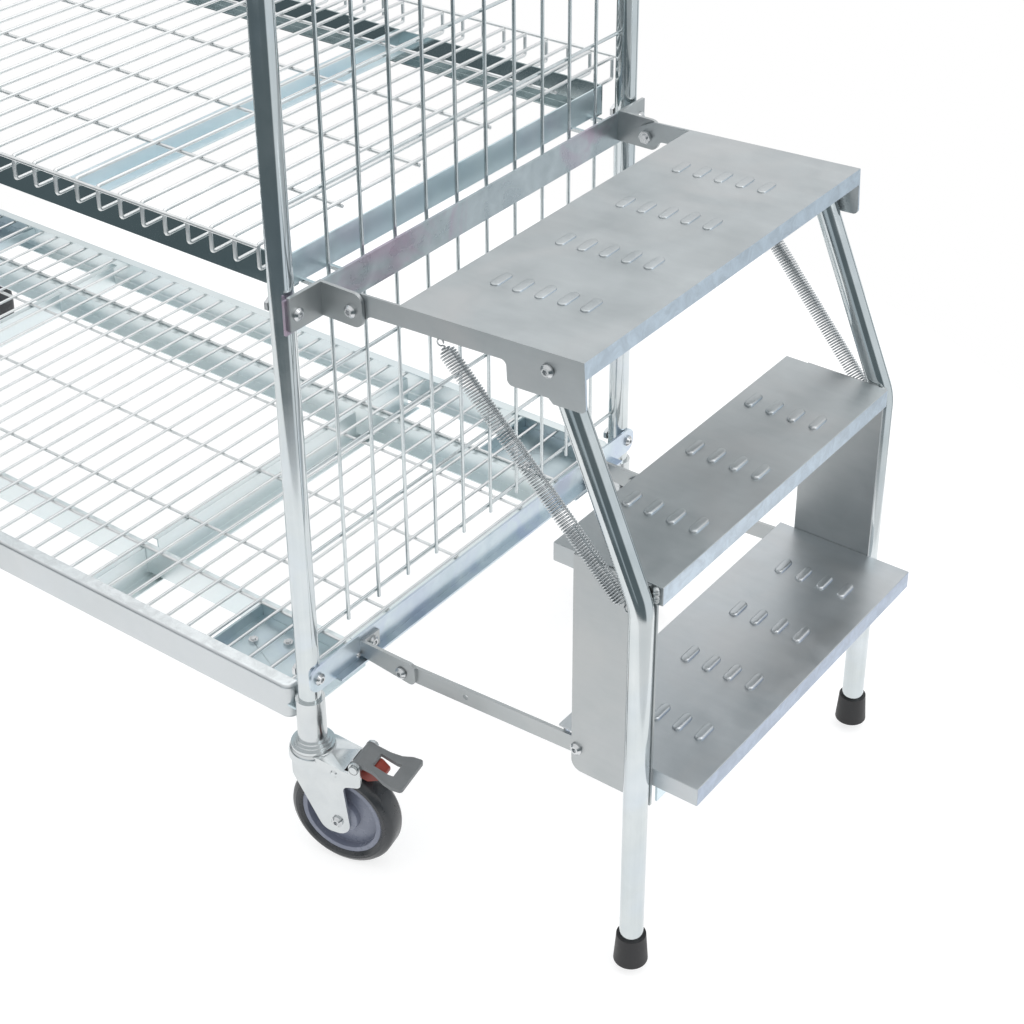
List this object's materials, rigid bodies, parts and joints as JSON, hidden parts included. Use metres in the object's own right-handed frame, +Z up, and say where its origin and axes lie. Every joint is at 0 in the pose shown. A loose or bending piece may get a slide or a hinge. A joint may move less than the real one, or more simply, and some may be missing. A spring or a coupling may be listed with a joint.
{
  "type": "order picking trolley",
  "caption": "Zinc-plated order picking trolley with mesh ends, a wire deck and shelf, swivel casters and sprung fold-up steps at one end.",
  "frame": {"origin": "centre of the whole object's box, on the floor", "axes": "+X towards the steps, +Y across the trolley, +Z up"},
  "size_m": [1.717, 0.634, 1.65],
  "materials": {
    "bright_zinc_tube": "bright zinc plate with soft vertical reflections",
    "grey_zinc_sheet": "matte grey zinc plate",
    "blue_zinc_profile": "bluish zinc plate, satin",
    "zinc_wire": "bright zinc plate",
    "bolt_steel": "bright zinc plate with a yellowish tint",
    "spring_steel": "bare wire",
    "foot_rubber": "matte black",
    "hub_grey": "satin bluish grey",
    "tyre_grey": "matte dark grey",
    "pedal_grey": "fine grain",
    "brake_red": "matte red brown"
  },
  "bodies": {
    "frame": {"caster_heads": "bright_zinc_tube", "caster_sockets": "bright_zinc_tube", "corner_bolts": "bolt_steel", "corner_plates": "blue_zinc_profile", "deck_cross_members": "blue_zinc_profile", "deck_end_members": "blue_zinc_profile", "deck_front_rail": "blue_zinc_profile", "deck_inner_beams": "blue_zinc_profile", "deck_mesh": "zinc_wire", "deck_rear_rail": "blue_zinc_profile", "far_end_bow": "bright_zinc_tube", "far_end_mesh": "zinc_wire", "frame_bolts": "bolt_steel", "hinge_bolts": "bolt_steel", "hinge_brackets": "grey_zinc_sheet", "shelf_clips": "zinc_wire", "shelf_cross_members": "blue_zinc_profile", "shelf_end_beams": "blue_zinc_profile", "shelf_front_beam": "blue_zinc_profile", "shelf_mesh": "zinc_wire", "shelf_rear_beam": "blue_zinc_profile", "step_end_bow": "bright_zinc_tube", "step_end_mesh": "zinc_wire", "step_low_bar": "blue_zinc_profile", "step_top_bar": "blue_zinc_profile", "strut_brackets": "grey_zinc_sheet"},
    "platform": {"platform": "grey_zinc_sheet"},
    "legs": {"near_leg": "bright_zinc_tube", "far_leg": "bright_zinc_tube", "near_side_plate": "grey_zinc_sheet", "far_side_plate": "grey_zinc_sheet", "mid_tread": "grey_zinc_sheet", "low_tread": "grey_zinc_sheet", "rubber_feet": "foot_rubber", "leg_tie_bar": "blue_zinc_profile", "step_bolts": "bolt_steel"},
    "struts": {"near_strut": "grey_zinc_sheet", "far_strut": "grey_zinc_sheet"},
    "springs": {"near_spring": "spring_steel", "far_spring": "spring_steel"},
    "step_near_caster": {"step_near_fork": "bright_zinc_tube", "step_near_axle": "bolt_steel"},
    "step_near_wheel": {"step_near_hub": "hub_grey", "step_near_tyre": "tyre_grey"},
    "step_near_brake": {"step_near_brake_pedal": "pedal_grey", "step_near_brake_shoe": "brake_red"},
    "step_far_caster": {"step_far_fork": "bright_zinc_tube", "step_far_axle": "bolt_steel"},
    "step_far_wheel": {"step_far_hub": "hub_grey", "step_far_tyre": "tyre_grey"},
    "step_far_brake": {"step_far_brake_pedal": "pedal_grey", "step_far_brake_shoe": "brake_red"},
    "back_near_caster": {"back_near_fork": "bright_zinc_tube", "back_near_axle": "bolt_steel"},
    "back_near_wheel": {"back_near_hub": "hub_grey", "back_near_tyre": "tyre_grey"},
    "back_far_caster": {"back_far_fork": "bright_zinc_tube", "back_far_axle": "bolt_steel"},
    "back_far_wheel": {"back_far_hub": "hub_grey", "back_far_tyre": "tyre_grey"}
  },
  "joints": [
    {"name": "platform_lift", "type": "hinge", "parent": "frame", "child": "platform", "pos_m": [0.4745, 0, 0.676], "axis": [0, -1, 0], "range_deg": [-2.8, 25], "stiffness_Nm_per_rad": 300, "springref_deg": 3.44, "deforming": ["near_spring", "far_spring"]},
    {"name": "leg_pivot", "type": "hinge", "parent": "platform", "child": "legs", "pos_m": [0.70123, 0, 0.68709], "axis": [0, -1, 0], "range_deg": [-25, 2.8]},
    {"name": "strut_pivot", "type": "hinge", "parent": "frame", "child": "struts", "pos_m": [0.491, 0, 0.23], "axis": [0, -1, 0], "range_deg": [-2.8, 25]},
    {"name": "spring_lean", "type": "hinge", "parent": "legs", "child": "springs", "pos_m": [0.7853, 0, 0.449], "axis": [0, -1, 0], "range_deg": [-2, 8]},
    {"name": "step_near_swivel", "type": "hinge", "parent": "frame", "child": "step_near_caster", "pos_m": [0.4185, -0.29, 0.13], "axis": [0, 0, 1], "continuous": true},
    {"name": "step_near_roll", "type": "hinge", "parent": "step_near_caster", "child": "step_near_wheel", "pos_m": [0.45534, -0.2825, 0.0625], "axis": [-0.1994, 0.9799, 0], "continuous": true},
    {"name": "step_near_brake_press", "type": "hinge", "parent": "step_near_caster", "child": "step_near_brake", "pos_m": [0.47925, -0.27764, 0.144], "axis": [-0.1994, 0.9799, 0], "range_deg": [0, 12]},
    {"name": "step_far_swivel", "type": "hinge", "parent": "frame", "child": "step_far_caster", "pos_m": [0.4185, 0.29, 0.13], "axis": [0, 0, 1], "continuous": true},
    {"name": "step_far_roll", "type": "hinge", "parent": "step_far_caster", "child": "step_far_wheel", "pos_m": [0.45534, 0.2825, 0.0625], "axis": [0.1994, 0.9799, 0], "continuous": true},
    {"name": "step_far_brake_press", "type": "hinge", "parent": "step_far_caster", "child": "step_far_brake", "pos_m": [0.47925, 0.27764, 0.144], "axis": [0.1994, 0.9799, 0], "range_deg": [0, 12]},
    {"name": "back_near_swivel", "type": "hinge", "parent": "frame", "child": "back_near_caster", "pos_m": [-0.8315, -0.29, 0.13], "axis": [0, 0, 1], "continuous": true},
    {"name": "back_near_roll", "type": "hinge", "parent": "back_near_caster", "child": "back_near_wheel", "pos_m": [-0.79466, -0.2825, 0.0625], "axis": [-0.1994, 0.9799, 0], "continuous": true},
    {"name": "back_far_swivel", "type": "hinge", "parent": "frame", "child": "back_far_caster", "pos_m": [-0.8315, 0.29, 0.13], "axis": [0, 0, 1], "continuous": true},
    {"name": "back_far_roll", "type": "hinge", "parent": "back_far_caster", "child": "back_far_wheel", "pos_m": [-0.79466, 0.2825, 0.0625], "axis": [0.1994, 0.9799, 0], "continuous": true}
  ],
  "couplings": [
    {"joint": "leg_pivot", "follows": "platform_lift", "ratio": -1},
    {"joint": "strut_pivot", "follows": "platform_lift", "ratio": 1},
    {"joint": "spring_lean", "follows": "platform_lift", "ratio": 0.207}
  ]
}
